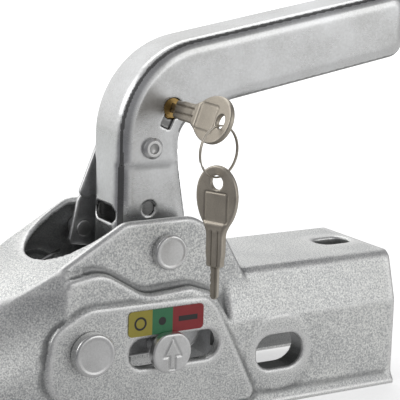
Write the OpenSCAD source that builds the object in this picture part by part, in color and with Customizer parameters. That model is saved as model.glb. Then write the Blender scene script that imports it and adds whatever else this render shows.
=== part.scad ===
// Lockable trailer ball coupler: pressed steel housing, lifting handle with a key
// lock, clamping jaw, wear indicator and two keys on a split ring.
// Origin: centre of the towing ball in its seat. +X to the drawbar, +Z up.

/* [Towing ball and drawbar] */
// Diameter of the towing ball
ball_d = 50; // [49:0.5:52]
// Gap between the seats and the ball
ball_gap = 0.1; // [0.05:0.05:0.3]
// Diameter of the round drawbar tube
tube_d = 50; // [44:1:52]
// Gap between the drawn collars and the tube
tube_gap = 0.1; // [0.05:0.05:0.5]

/* [Housing] */
// Thickness of the pressed sheet
wall = 4; // [3:0.5:5]
// Width over the lower side walls
body_w = 72; // [70:1:80]
// Width over the two ears
ear_w = 62; // [58:1:66]
// Length from the ball centre to the rear edge
rear_x = 217; // [212:1:240]
// Height of the lower edge of the side walls
bottom_z = -25.5; // [-30:0.5:-23]
// Height where the rear side wall leans inwards
ridge_z = 17.5; // [15:0.5:22]
// Height of the flat rear top
rear_top_z = 41.5; // [38:0.5:46]
// Width of the flat rear top
rear_top_w = 58; // [50:1:60]
// Height of the ears
ear_top_z = 69.5; // [68:0.5:74]
// Height of the raised pads on the side walls
pad_h = 1.5; // [0.5:0.5:2.5]

/* [Drawbar bolts] */
// Place of the side bolt slots
side_slot_x = 148; // [146:1:152]
// Length of the side bolt slots
side_slot_l = 27; // [22:1:32]
// Width of the side bolt slots
side_slot_w = 17; // [14:0.5:18]
// Distance from the side bolt to the top bolt
bolt_pitch = 54; // [45:1:58]
// Length of the top bolt slot
top_slot_l = 20; // [16:1:24]
// Width of the top bolt slot
top_slot_w = 12.5; // [10.5:0.5:14.5]
// Wall of the drawn collars
collar_wall = 3.5; // [2.5:0.5:4]

/* [Clamping jaw] */
// Place of the jaw pin behind the ball centre
jaw_pin_x = 45; // [44:0.5:47]
// Height of the jaw pin
jaw_pin_z = 13.5; // [12:0.5:15]
// Diameter of the jaw pin
jaw_pin_d = 12; // [10:0.5:14]
// Diameter of the jaw pin's head
jaw_head_d = 20; // [16:0.5:22]
// Width of the jaw
jaw_w = 44; // [36:1:48]

/* [Handle] */
// Place of the handle pin
handle_pin_x = 87.3; // [86:0.1:89]
// Height of the handle pin
handle_pin_z = 54.4; // [53:0.1:56]
// Diameter of the handle pin
handle_pin_d = 10; // [8:0.5:12]
// Diameter of the handle pin's head
handle_head_d = 16.5; // [14:0.5:20]
// Width over the handle
handle_w = 30; // [28:0.5:33]
// Thickness of the handle sheet
handle_t = 2.5; // [2:0.25:3]
// Place of the handle's front face
front_x = 70.5; // [69.5:0.5:72]
// Place of the end of the grip
grip_x = 232; // [200:1:250]
// Height of the grip's section
grip_h = 33; // [30:0.5:36]
// Slope of the grip
grip_slope = 9.7; // [7:0.1:12]
// Radius of the handle's outer bend
bend_r = 46; // [40:1:50]
// Distance from the handle pin down to the drive pin
drive_arm = 23.5; // [22:0.5:25]

/* [Wear indicator] */
// Length of the indicator slot
ind_slot_l = 47.6; // [46:0.2:54]
// Width of the indicator slot
ind_slot_w = 14; // [13.5:0.5:15]
// Middle of the indicator slot
ind_slot_x = 88.8; // [88:0.2:90]
// Height of the indicator slot
ind_z = 9.4; // [8:0.2:11]
// Place of the indicator at rest
ind_x = 84.6; // [82:0.2:87]
// Diameter of the indicator disc
ind_d = 20; // [17:0.5:21]

/* [Lock and keys] */
// Place of the lock
lock_x = 97.7; // [96.5:0.1:98.5]
// Height of the lock
lock_z = 117.3; // [116.5:0.1:119]
// Turn of the key's plane from upright
lock_turn = 20; // [15:1:35]
// Radius of the lock barrel
barrel_r = 4.8; // [4.4:0.1:5.2]
// Radius of the lock plug
plug_r = 3.2; // [3:0.1:3.5]
// Length of a key's bow
bow_l = 32; // [28:0.5:34]
// Height of a key's bow
bow_h = 23; // [20:0.5:25]
// Thickness of a key
key_t = 2.5; // [2:0.1:3]
// Middle radius of the split ring
ring_r = 11.5; // [10:0.5:13]
// Radius of the ring's wire
ring_wire_r = 0.75; // [0.6:0.05:0.9]

/* [Hidden] */
$fn = 64;
cut = 1;             // extra length of a cut past the face it leaves
run = 0.05;          // running gap of a pin in its hole
side_gap = 0.3;      // gap between pieces that pass each other
ball_r = ball_d / 2 + ball_gap;
half_w = body_w / 2;
half_ear = ear_w / 2;
ear_in = half_ear - wall;
rim_z = -16;
side_face = half_w + pad_h;
half_h = handle_w / 2;
leg_in = half_h - handle_t;
drive_z = handle_pin_z - drive_arm;
top_slot_x = side_slot_x + bolt_pitch;

// ---- helpers -------------------------------------------------------------
function unit(v) = v / norm(v);
function cross2(a, b) = a[0] * b[1] - a[1] * b[0];

// arc points at one vertex [x, z, radius] of a closed outline moved inwards by t
function corner(p0, p1, p2, t) =
    let (a = unit([p0[0] - p1[0], p0[1] - p1[1]]),
         b = unit([p2[0] - p1[0], p2[1] - p1[1]]),
         side = cross2(b, a) > 0 ? 1 : -1,
         half = acos(a * b) / 2,
         toward = unit(a + b),
         v = [p1[0], p1[1]] + toward * side * t / sin(half),
         r = (p1[2] == undef ? 0 : p1[2]) - side * t,
         c = v + toward * r / sin(half),
         a0 = atan2(-toward[1], -toward[0]),
         open = 90 - half,
         n = 8)
    r <= 0.05 ? [v]
              : [for (i = [0 : n]) c + r * [cos(a0 - side * open * (1 - 2 * i / n)),
                                            sin(a0 - side * open * (1 - 2 * i / n))]];

// closed outline, counter-clockwise, with its corners rounded, moved inwards by t
function rounded(p, t = 0) =
    [for (i = [0 : len(p) - 1])
        each corner(p[(i + len(p) - 1) % len(p)], p[i], p[(i + 1) % len(p)], t)];

// a flat outline in X and Z, carried from y0 to y1
module across(y0, y1) {
    translate([0, y1, 0]) rotate([90, 0, 0]) linear_extrude(y1 - y0) children();
}

// a flat outline in Y and Z, carried from x0 to x1
module along(x0, x1) {
    translate([x0, 0, 0]) rotate([90, 0, 90]) linear_extrude(x1 - x0) children();
}

// a round bar along Y
module bar_y(x, z, r, y0, y1) {
    translate([x, y1, z]) rotate([90, 0, 0]) cylinder(r = r, h = y1 - y0);
}

// a slot with round ends, long side along X
module slot2d(l, w) {
    square([l - w, w], center = true);
    for (s = [-1, 1]) translate([s * (l - w) / 2, 0]) circle(d = w);
}

// a pin head with a rounded edge, from face y outwards to the left of travel
module head_y(x, z, d, h, y) {
    edge = 1.2;
    translate([x, y, z]) rotate([90, 0, 0]) rotate_extrude() {
        square([d / 2 - edge, h]);
        square([d / 2, h - edge]);
        translate([d / 2 - edge, h - edge]) circle(r = edge, $fn = 32);
    }
}

// ---- housing -------------------------------------------------------------
nose_x = 34;          // where the rounded nose runs into the straight side walls
ear_slope = (ear_top_z - 31.5) / 65;
nose_top = 31.5 + nose_x * ear_slope;
nose_sink = 0.6;      // how far the nose starts inside the round head
bend_z = bottom_z + 5.5;  // where the side walls bend outwards into the lower flange
low_side = [[nose_x, rim_z], [60, bottom_z, 8], [rear_x, bottom_z],
    [rear_x, ridge_z], [120.5, ridge_z, 8], [110.4, 33, 10], [98, 37.5, 10],
    [74, 36, 16], [52, 49.5, 18], [nose_x, 46.5]];
ear_side = [[nose_x, 10], [139, 10], [128.5, rear_top_z], [119, 58, 12],
    [101, ear_top_z, 16], [65, ear_top_z, 12], [nose_x, nose_top]];
pad_side = [[26, -4, 14], [60, bend_z, 8], [134.8, bend_z, 2],
    [112, 26, 2], [106, 32.6, 9], [44, 33.4, 20], [26, 24, 12]];
flare = 3;

// outside form of the pressed shell, moved inwards by t
module shell_form(t) {
    head_form(t);
    nose_block(t);
    across(-half_w + t, half_w - t) polygon(rounded(low_side, t));
    across(-half_ear + t, half_ear - t) polygon(rounded(ear_side, t));
    along(118, rear_x) polygon(rounded(rear_section, t));
}

// lower end of the head; the space inside runs out past the rim
function head_low(t) = t > 0 ? rim_z - cut : rim_z;

// the round head: a half ball on a short upright cylinder
module head_form(t) {
    low = head_low(t);
    rotate_extrude($fn = 96) intersection() {
        union() {
            circle(r = half_w - t, $fn = 96);
            translate([0, low]) square([half_w - t, -low]);
        }
        translate([0, low]) square(body_w);
    }
}

// the part between the round head and the side walls, moved inwards by t
module nose_block(t) {
    w = half_w - t;
    e = half_ear - t;
    low = head_low(t);
    start = w - nose_sink;
    top = nose_top - t * sqrt(1 + ear_slope * ear_slope);
    hull() {
        along(-3, -2.9) intersection() {
            union() {
                circle(r = start, $fn = 48);
                translate([-start, low]) square([2 * start, -low]);
            }
            translate([-start, low]) square(2 * body_w);
        }
        along(nose_x, nose_x + 8) polygon([[-w, low], [w, low], [w, top - 9],
            [e + 2, top - 4], [e, top], [-e, top], [-e - 2, top - 4], [-w, top - 9]]);
    }
}

rear_section = [[-half_w, 0], [half_w, 0], [half_w, ridge_z, 6],
    [rear_top_w / 2, rear_top_z, 7], [-rear_top_w / 2, rear_top_z, 7],
    [-half_w, ridge_z, 6]];

// the outward flange along the lower edge of the two side walls
module flange_form() {
    for (s = [0, 1]) mirror([0, s, 0]) along(64, rear_x)
        polygon([[half_w - wall, bend_z], [half_w - wall, bottom_z],
            [half_w + flare, bottom_z], [half_w + flare, bottom_z + 0.8],
            [half_w, bend_z]]);
}

module side_collar(y0, y1) {
    across(y0, y1) translate([side_slot_x, 0])
        slot2d(side_slot_l + 2 * collar_wall, side_slot_w + 2 * collar_wall);
}

module housing() {
    color([0.72, 0.73, 0.73])
    difference() {
        union() {
            shell_form(0);
            flange_form();
            across(-side_face, side_face) polygon(rounded(pad_side));
            bar_y(side_slot_x, 0, 18.5, -half_w - 0.8, half_w + 0.8);
        }
        difference() {
            union() {
                shell_form(wall);
                along(60, rear_x + cut) square([body_w - 2 * wall, 2 * (ridge_z - wall)], true);
                along(118, rear_x + cut) polygon(rounded(rear_section, wall));
                translate([20, -half_w + wall, bottom_z - cut])
                    cube([rear_x, body_w - 2 * wall, -bottom_z + cut]);
                translate([60, 0, rear_top_z - 8]) cylinder(r = ear_in, h = 60, $fn = 96);
                translate([60, -ear_in, rear_top_z - 8]) cube([62, 2 * ear_in, 60]);
            }
            for (s = [-1, 1]) side_collar(s > 0 ? tube_d / 2 - 3 : -half_w,
                                          s > 0 ? half_w : -tube_d / 2 + 3);
            translate([top_slot_x, 0, tube_d / 2 - 4]) linear_extrude(rear_top_z)
                slot2d(top_slot_l + 2 * collar_wall, top_slot_w + 2 * collar_wall);
        }
        across(-side_face - cut, side_face + cut) translate([side_slot_x, 0])
            slot2d(side_slot_l, side_slot_w);
        translate([top_slot_x, 0, 0]) linear_extrude(80) slot2d(top_slot_l, top_slot_w);
        translate([118, 0, 0]) rotate([0, 90, 0])
            cylinder(r = tube_d / 2 + tube_gap, h = rear_x, $fn = 96);
        across(-side_face - cut, -ear_in) translate([ind_slot_x, ind_z])
            slot2d(ind_slot_l, ind_slot_w);
        bar_y(jaw_pin_x, jaw_pin_z, jaw_pin_d / 2 + run, -side_face - cut, side_face + cut);
        bar_y(handle_pin_x, handle_pin_z, handle_pin_d / 2 + run, -half_w, half_w);
        for (p = keeper_spots) bar_y(p[0], p[1], rivet_r + run, 0, half_w);
    }
}

// forged seat for the front and top of the ball
cup_rear = 8;
module ball_cup() {
    color([0.55, 0.56, 0.57])
    difference() {
        union() {
            sphere(r = half_w - wall - 0.1, $fn = 96);
            translate([0, 0, rim_z + 2])
                cylinder(r = half_w - wall - 0.1, h = -rim_z, $fn = 96);
        }
        sphere(r = ball_r, $fn = 96);
        translate([0, 0, -half_w]) cylinder(r = ball_r, h = half_w, $fn = 96);
        translate([-half_w, -half_w, -half_w]) cube([body_w, body_w, half_w + rim_z + 2]);
        translate([cup_rear, -half_w, -half_w]) cube(body_w);
    }
}

// ---- clamping jaw ----------------------------------------------------------
hub_r = 11.5;
jaw_side = [[11, -19, 2], [27, -23, 5], [44, -8, 8], [56.5, 9, 6], [50, 24, 10],
    [38, 23, 6], [11, 6, 2]];
module clamp_jaw() {
    color([0.5, 0.5, 0.52])
    difference() {
        union() {
            across(-jaw_w / 2, jaw_w / 2) polygon(rounded(jaw_side));
            bar_y(jaw_pin_x, jaw_pin_z, hub_r, -jaw_w / 2, jaw_w / 2);
        }
        sphere(r = ball_r, $fn = 96);
        bar_y(jaw_pin_x, jaw_pin_z, jaw_pin_d / 2 + run, -jaw_w, jaw_w);
    }
}

jaw_head_h = 5.5;
module jaw_pin() {
    color([0.8, 0.81, 0.82]) {
        bar_y(jaw_pin_x, jaw_pin_z, jaw_pin_d / 2, -side_face, side_face + 3);
        head_y(jaw_pin_x, jaw_pin_z, jaw_head_d, jaw_head_h, -side_face);
        bar_y(jaw_pin_x, jaw_pin_z, jaw_pin_d / 2 + 2, side_face, side_face + 3);
    }
}

module jaw_spacers() {
    color([0.66, 0.67, 0.68])
    for (y = [-half_w + wall + 0.1, jaw_w / 2 + 0.1])
        difference() {
            l = half_w - wall - jaw_w / 2 - 0.2;
            bar_y(jaw_pin_x, jaw_pin_z, 9, y, y + l);
            bar_y(jaw_pin_x, jaw_pin_z, jaw_pin_d / 2 + run, y - cut, y + l + cut);
        }
}

// a wire tube through a list of points, closed at both ends; side is a fixed axis
module wire(path, r, side, n = 8) {
    last = len(path) - 1;
    dirs = [for (i = [0 : last]) unit(path[min(i + 1, last)] - path[max(i - 1, 0)])];
    rings = [for (i = [0 : last])
        let (u = unit(cross(dirs[i], side)), v = cross(u, dirs[i]))
        each [for (k = [0 : n - 1]) path[i] + r * (u * cos(360 * k / n) + v * sin(360 * k / n))]];
    walls = [for (i = [0 : last - 1], k = [0 : n - 1])
        [i * n + k, i * n + (k + 1) % n, (i + 1) * n + (k + 1) % n, (i + 1) * n + k]];
    ends = [[for (k = [n - 1 : -1 : 0]) k], [for (k = [0 : n - 1]) last * n + k]];
    polyhedron(rings, concat(walls, ends), convexity = 6);
}

// torsion spring beside the jaw, with one leg up to the front opening
jaw_coil_r = 11.4;
jaw_wire_r = 1;
module jaw_spring() {
    turns = 2.5;
    steps = 14;
    y0 = half_w - wall - jaw_wire_r - 0.6;
    y1 = jaw_w / 2 + jaw_wire_r + 1.2;
    coil = [for (i = [0 : turns * steps])
        let (a = 180 + 360 * (turns - i / steps))
        [jaw_pin_x + jaw_coil_r * cos(a), y0 + (y1 - y0) * i / (turns * steps),
         jaw_pin_z + jaw_coil_r * sin(a)]];
    leg = [[34.2, y1, 20], [36, y1, 28], [42, y1, 36], [50, y1, 41], [60, y1, 45]];
    color([0.45, 0.45, 0.47]) wire(concat(coil, leg), jaw_wire_r, [0.05, 1, 0.02], 6);
}

// ---- handle ----------------------------------------------------------------
top_z0 = 142.3;      // where the line of the grip's top meets the front face
tan_s = tan(grip_slope);
grip_top = top_z0 + (grip_x - front_x) * tan_s;
leg_tip_r = 8.5;
handle_side = [[front_x, 42, 5], [handle_pin_x - leg_tip_r - 1, drive_z - leg_tip_r, 8],
    [handle_pin_x + leg_tip_r, drive_z - leg_tip_r, 8], [106.5, 44, 20],
    [109.3, 64.5, 20], [101.6, 109, 8], [131, 118.3, 30],
    [grip_x, grip_top - grip_h / cos(grip_slope), 9], [grip_x, grip_top, 9],
    [front_x, top_z0, bend_r]];
web_end_z = 44;
lip_gap = 6;
hole_r = 3.3;
rivet_x = 86.7;
rivet_z = 99.4;
rivet_r = 3;
keyhole_r = barrel_r;
tab_w = 4.6;
tab_l = 11.5;
handle_hole = [86.4, 70.9];
web_hole_z = 67.8;
web_hole_w = 19;
web_hole_h = 7.8;

// turn about the lock's own axis
module at_lock() {
    translate([lock_x, 0, lock_z]) rotate([0, lock_turn, 0]) children();
}

module handle() {
    color([0.8, 0.81, 0.83])
    difference() {
        across(-half_h, half_h) polygon(rounded(handle_side));
        // the space inside the channel
        across(-leg_in, leg_in) polygon(rounded(handle_side, handle_t));
        // no web below this height, so the legs run down as two cheeks
        translate([0, -leg_in, 0]) cube([200, 2 * leg_in, web_end_z]);
        translate([front_x + handle_t, -leg_in, 0]) cube([60, 2 * leg_in, 97]);
        // the open side between the two rolled edges of the grip
        across(-lip_gap, lip_gap) polygon([[104, 80], [grip_x - 9, 80],
            [grip_x - 9, 120 + (grip_x - 113) * tan_s], [104, 121]]);
        across(-leg_in, leg_in) polygon([[80, 60], [112, 60], [112, 118], [96, 111], [80, 110]]);
        // holes
        bar_y(handle_pin_x, handle_pin_z, handle_pin_d / 2 + run, -half_h - cut, half_h + cut);
        bar_y(handle_pin_x, drive_z, drive_r + run, -half_h - cut, half_h + cut);
        bar_y(rivet_x, rivet_z, rivet_r + run, -half_h - cut, half_h + cut);
        bar_y(handle_hole[0], handle_hole[1], hole_r, -half_h - cut, 0);
        bar_y(lock_x, lock_z, barrel_r + 0.1, 0, half_h + cut);
        bar_y(lock_x, lock_z, keyhole_r, -half_h - cut, 0);
        at_lock() translate([-tab_w / 2, -half_h - cut, -tab_l])
            cube([tab_w, handle_t + 1.5 * cut, tab_l]);
        translate([front_x + 5, 0, web_hole_z]) rotate([90, 0, -90])
            linear_extrude(10) slot2d(web_hole_w, web_hole_h);
    }
}

handle_head_h = 4;
module handle_pin() {
    color([0.78, 0.79, 0.8]) {
        bar_y(handle_pin_x, handle_pin_z, handle_pin_d / 2, -half_ear, half_ear + 3);
        head_y(handle_pin_x, handle_pin_z, handle_head_d, handle_head_h, -half_ear);
        bar_y(handle_pin_x, handle_pin_z, handle_pin_d / 2 + 2, half_ear, half_ear + 3);
    }
}

spacer_r = 8.5;
module ring_y(x, z, r, bore, y0, y1) {
    difference() {
        bar_y(x, z, r, y0, y1);
        bar_y(x, z, bore, y0 - cut, y1 + cut);
    }
}

module handle_spacers() {
    color([0.62, 0.63, 0.65])
    for (span = [[-ear_in + 0.1, -half_h - 0.1], [half_h + 0.1, keeper_y - 0.1],
                 [keeper_y + keeper_t + 0.1, ear_in - 0.1]])
        ring_y(handle_pin_x, handle_pin_z, spacer_r, handle_pin_d / 2 + run, span[0], span[1]);
}

drive_r = 4;
module drive_pin() {
    color([0.6, 0.61, 0.63]) {
        bar_y(handle_pin_x, drive_z, drive_r, -slide_half, slide_half);
        for (s = [-1, 1]) bar_y(handle_pin_x, drive_z, drive_r + 1.5,
            s > 0 ? half_h + 0.1 : -half_h - 1.6, s > 0 ? half_h + 1.6 : -half_h - 0.1);
    }
}

// ---- slide, spring and indicator ---------------------------------------------
slide_half = 26;
slide_t = 3;
slide_x0 = 61;
slide_x1 = 109;
slide_z0 = 4.5;
slide_z1 = 27;
rod_z = 15.5;
rod_r = 4.5;
fork_top = handle_pin_z - spacer_r - 1;
slide_side = [[slide_x0, slide_z0, 3], [slide_x1, slide_z0, 8], [slide_x1, slide_z1, 4],
    [handle_pin_x + 13, slide_z1 + 2, 4], [handle_pin_x + 11, fork_top, 4],
    [handle_pin_x - 11, fork_top, 4], [handle_pin_x - 13, slide_z1 + 2, 4],
    [slide_x0, slide_z1, 3]];
fork_w = 2 * (drive_r + 1.3);
neck_r = 5;
module slide() {
    color([0.7, 0.71, 0.72])
    difference() {
        across(-slide_half, slide_half) polygon(rounded(slide_side));
        // hollow between the two cheeks, open to the rear, above and below
        translate([slide_x0 + 4, -slide_half + slide_t, 0])
            cube([80, 2 * (slide_half - slide_t), 60]);
        translate([slide_x0 - cut, -slide_half + slide_t, slide_z1 - 1])
            cube([60, 2 * (slide_half - slide_t), 40]);
        // upright slots for the drive pin
        across(-slide_half - cut, slide_half + cut) {
            translate([handle_pin_x - fork_w / 2, drive_z]) square([fork_w, 30]);
            translate([handle_pin_x, drive_z]) circle(d = fork_w);
        }
        translate([slide_x0 - cut, 0, rod_z]) rotate([0, 90, 0]) cylinder(r = 3 + run, h = 8);
        bar_y(ind_x, ind_z, neck_r - 1.5 + run, -slide_half - cut, 0);
    }
}

rod_end = 128;
module slide_rod() {
    color([0.62, 0.63, 0.65])
    translate([slide_x0 - 2, 0, rod_z]) rotate([0, 90, 0]) {
        cylinder(r = 5.5, h = 1.9);
        cylinder(r = 3, h = 10);
        translate([0, 0, 6.1]) cylinder(r = rod_r, h = rod_end - slide_x0 - 4.1);
    }
}

bracket_x = 117;
coil_r = 8;
coil_wire_r = 1.5;
module main_spring() {
    turns = 8;
    steps = 12;
    x0 = slide_x0 + 4 + coil_wire_r + 0.2;
    x1 = bracket_x - coil_wire_r - 0.2;
    pitch = (x1 - x0) / turns;
    coil = [for (i = [0 : turns * steps]) let (a = 360 * i / steps)
        [x0 + pitch * i / steps, coil_r * cos(a), rod_z + coil_r * sin(a)]];
    color([0.4, 0.4, 0.42]) wire(coil, coil_wire_r, [1, 0, 0], 6);
}

// cross plate that carries the rear end of the spring
module spring_bracket() {
    inner = half_w - wall - 0.1;
    neck = slide_half - slide_t - 0.7;
    foot = slide_z0 - 1;
    color([0.6, 0.61, 0.62])
    difference() {
        along(bracket_x, bracket_x + 4) polygon([[-inner, foot - 6], [inner, foot - 6],
            [inner, foot], [neck, foot], [neck, 33], [-neck, 33], [-neck, foot], [-inner, foot]]);
        translate([bracket_x - cut, 0, rod_z]) rotate([0, 90, 0])
            cylinder(r = rod_r + side_gap, h = 6);
    }
}

disc_h = 4.7;
disc_flat = 18.4;
module indicator() {
    color([0.74, 0.75, 0.76]) {
        bar_y(ind_x, ind_z, neck_r - 1.5, -slide_half, -slide_half + 5);
        bar_y(ind_x, ind_z, neck_r, -side_face - 0.3, -slide_half);
        difference() {
            intersection() {
                head_y(ind_x, ind_z, ind_d, disc_h, -side_face - 0.3);
                translate([ind_x - ind_d, -80, ind_z - disc_flat / 2])
                    cube([2 * ind_d, 80, disc_flat]);
            }
            // outline of an upright arrow, pressed into the face
            across(-side_face - 0.3 - disc_h - cut, -side_face - disc_h + 0.1)
                translate([ind_x, ind_z]) difference() {
                    polygon([for (p = arrow) p]);
                    polygon([for (p = arrow) [p[0] * 0.62, p[1] * 0.76 + (p[1] > 1 ? -0.2 : 0)]]);
                }
        }
    }
}
arrow = [[-1.2, -8], [1.2, -8], [1.2, -3], [3.6, -3], [0, 6.5], [-3.6, -3], [-1.2, -3]];

label_x0 = 63.9;
label_l = 39.4;
label_z0 = 17.9;
label_h = 11.9;
label_t = 0.25;
module wear_label() {
    color([0.25, 0.56, 0.39])
    across(-side_face - label_t, -side_face)
        polygon(rounded([[label_x0, label_z0, 2], [label_x0 + label_l, label_z0, 2],
            [label_x0 + label_l, label_z0 + label_h, 2], [label_x0, label_z0 + label_h, 2]]));
}

// ---- safety catch and keeper ---------------------------------------------------
rivet_head_r = 5;
catch_y = half_h + 0.6;
catch_t = 2.5;
spring_room = 4;
module latch_rivet() {
    far = catch_y + catch_t + spring_room;
    color([0.76, 0.77, 0.78]) {
        bar_y(rivet_x, rivet_z, rivet_r, -half_h, far);
        head_y(rivet_x, rivet_z, 2 * rivet_head_r, 2.6, -half_h);
        bar_y(rivet_x, rivet_z, rivet_head_r + 0.8, far, far + 2);
        ring_y(rivet_x, rivet_z, 5, rivet_r - 0.5, half_h, catch_y - 0.1);
    }
}

catch_side = [[86, 92, 5], [93, 92.5, 8], [113, 101, 3], [115, 107, 3], [92, 107, 8],
    [79, 106, 6], [74, 95, 8], [65.5, 74, 3], [69, 70.8, 2], [75, 73, 2], [80, 88, 8]];
module safety_catch() {
    color([0.66, 0.63, 0.6])
    difference() {
        union() {
            across(catch_y, catch_y + catch_t) polygon(rounded(catch_side));
            // thumb tab, bent outwards
            translate([108, catch_y, 103.5]) rotate([0, -15, 0]) cube([6, 11, catch_t]);
        }
        bar_y(rivet_x, rivet_z, rivet_r + run, 0, 40);
    }
}

// torsion spring round the rivet, between the catch and the rivet's far head
module catch_spring() {
    coil_turn = 430;      // from the leg on the left, once round, to the leg at the top
    steps = 15;
    coil_mid = 4.3;
    y0 = catch_y + catch_t + 0.9;
    y1 = y0 + spring_room - 1.8;
    coil = [for (i = [0 : steps]) let (a = 160 - coil_turn * i / steps)
        [rivet_x + coil_mid * cos(a), y0 + (y1 - y0) * i / steps, rivet_z + coil_mid * sin(a)]];
    color([0.45, 0.45, 0.47])
        wire(concat([[82.5, y0, 89], [81.9, y0, 96]], coil, [[96, y1, 103.3], [106, y1, 102.5]]),
            0.6, [0.05, 1, 0.02], 6);
}

keeper_y = half_h + 4.2;
keeper_t = 2.5;
keeper_spots = [[70, 56], [101, 61]];
keeper_side = [[62, 49, 2], [80, 46, 3], [95, 45.5, 4], [107, 52, 6], [105, 64, 8],
    [84, 80, 4], [75.4, 80.5, 3], [67, 70.5, 5]];
module keeper() {
    color([0.62, 0.65, 0.64])
    difference() {
        union() {
            across(keeper_y, keeper_y + keeper_t) polygon(rounded(keeper_side));
            for (p = keeper_spots) bar_y(p[0], p[1], 5, keeper_y, ear_in);
        }
        bar_y(handle_pin_x, handle_pin_z, handle_pin_d / 2 + run, 0, 40);
        for (p = keeper_spots) bar_y(p[0], p[1], rivet_r + run, 0, 40);
    }
}

module keeper_rivets() {
    color([0.76, 0.77, 0.78])
    for (p = keeper_spots) {
        bar_y(p[0], p[1], rivet_r, keeper_y - 0.6, half_ear);
        bar_y(p[0], p[1], 4.5, half_ear, half_ear + 2);
        bar_y(p[0], p[1], rivet_r + 0.8, keeper_y - 0.7, keeper_y);
    }
}

// ---- lock --------------------------------------------------------------------
wing_y0 = -leg_in + side_gap;
wing_t = 2;
sleeve_y0 = wing_y0 + wing_t + side_gap;
module lock_sleeve() {
    color([0.55, 0.56, 0.58]) ring_y(lock_x, lock_z, 7, barrel_r + 0.1, sleeve_y0, leg_in);
}

barrel_y1 = half_h + 0.2;
module lock_barrel() {
    color([0.72, 0.56, 0.25])
        ring_y(lock_x, lock_z, barrel_r, plug_r + run, sleeve_y0 + 0.1, barrel_y1);
}

face_y = -half_h + 0.9;
head_r = keyhole_r - 0.25;
blade_t = 1.8;
blade_h = 4.2;
blade_l = 15;
neck_y = -half_h - 3.5;
blade_end = neck_y + blade_l;
wafer_t = 0.9;
wafer_pitch = 1.9;
wafer_ys = [for (i = [0 : 2]) blade_end - 2.2 - i * wafer_pitch];
wafer_w = 3.6;
wafer_h = 5.2;
plug_end = catch_y + catch_t + 0.9;
module lock_plug() {
    color([0.7, 0.53, 0.22])
    difference() {
        union() {
            bar_y(lock_x, lock_z, head_r, face_y, sleeve_y0 - 0.05);
            bar_y(lock_x, lock_z, plug_r, face_y + 1, barrel_y1 + 0.1);
            bar_y(lock_x, lock_z, 2.2, barrel_y1, plug_end);
            at_lock() translate([-2, wing_y0, -10.6]) cube([4, wing_t, 9]);
        }
        at_lock() translate([-blade_t / 2 - 0.15, face_y - cut, -blade_h / 2 - 0.15])
            cube([blade_t + 0.3, blade_end - face_y + cut + 0.6, blade_h + 0.3]);
        for (y = wafer_ys) at_lock()
            translate([-wafer_w / 2 - 0.05, y - 0.05, -wafer_h / 2 - 0.05])
                cube([wafer_w + 0.1, wafer_t + 0.1, wafer_h + 0.1]);
        ring_y(lock_x, lock_z, 3, 1.7, plug_end - 0.9, plug_end - 0.3);
    }
}

module lock_wafers() {
    color([0.75, 0.6, 0.3])
    for (y = wafer_ys) at_lock() difference() {
        translate([-wafer_w / 2, y, -wafer_h / 2]) cube([wafer_w, wafer_t, wafer_h]);
        translate([-blade_t / 2 - 0.15, y - cut, -blade_h / 2 - 0.15])
            cube([blade_t + 0.3, 3, blade_h + 0.3]);
    }
}

module lock_bolt() {
    color([0.55, 0.56, 0.58])
    at_lock() across(barrel_y1 + 0.2, catch_y + catch_t - 0.1)
        difference() {
            union() {
                circle(r = 4.4);
                translate([0, -2.5]) square([7.2, 5]);
            }
            circle(r = 2.2 + run);
        }
}

module lock_clip() {
    color([0.3, 0.3, 0.32])
    difference() {
        ring_y(lock_x, lock_z, 3.6, 1.75, plug_end - 0.85, plug_end - 0.35);
        at_lock() translate([-5, 0, -1.2]) cube([5, 40, 2.4]);
    }
}

// ---- keys ----------------------------------------------------------------------
neck_l = 14;
neck_h = 9;
neck_t = 4;
key_hole_r = 3.3;
key_hole_in = 7.6;
key_l = bow_l + neck_l + blade_l;

// one key: blade tip at the origin, blade and bow towards -Y, flat side facing X
module key() {
    difference() {
        union() {
            // bow: an oval plate
            translate([-key_t / 2, -key_l + bow_l / 2, 0]) rotate([0, 90, 0])
                intersection() {
                    linear_extrude(key_t) rotate([0, 0, 90]) slot2d(bow_l, bow_h - 1);
                    cylinder(r = bow_l / 2, h = key_t, $fn = 96);
                }
            translate([-neck_t / 2, -blade_l - neck_l - 4, -neck_h / 2])
                cube([neck_t, neck_l + 4, neck_h]);
            translate([-blade_t / 2, -blade_l - 1, -blade_h / 2]) cube([blade_t, blade_l, blade_h]);
            translate([-blade_t / 2, 0, 0]) rotate([0, 90, 0]) difference() {
                translate([-blade_h / 2, -1, 0]) cube([blade_h, 1, blade_t]);
                for (s = [-1, 1]) translate([s * blade_h / 2, 0, -cut]) rotate([0, 0, 45])
                    cube([1.2, 1.2, 5], center = true);
            }
        }
        translate([-key_t, -key_l + key_hole_in, 0]) rotate([0, 90, 0])
            cylinder(r = key_hole_r, h = 2 * key_t);
        // bitting along one edge of the blade
        for (i = [0 : 4]) translate([-blade_t, -2.4 - i * 2.5, -blade_h / 2 - 0.4 - 0.25 * (i % 2)])
            rotate([0, 90, 0]) cylinder(r = 0.9, h = 4, $fn = 24);
    }
}

module key_inserted() {
    color([0.55, 0.52, 0.47]) at_lock() translate([0, blade_end, 0]) key();
}

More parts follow.
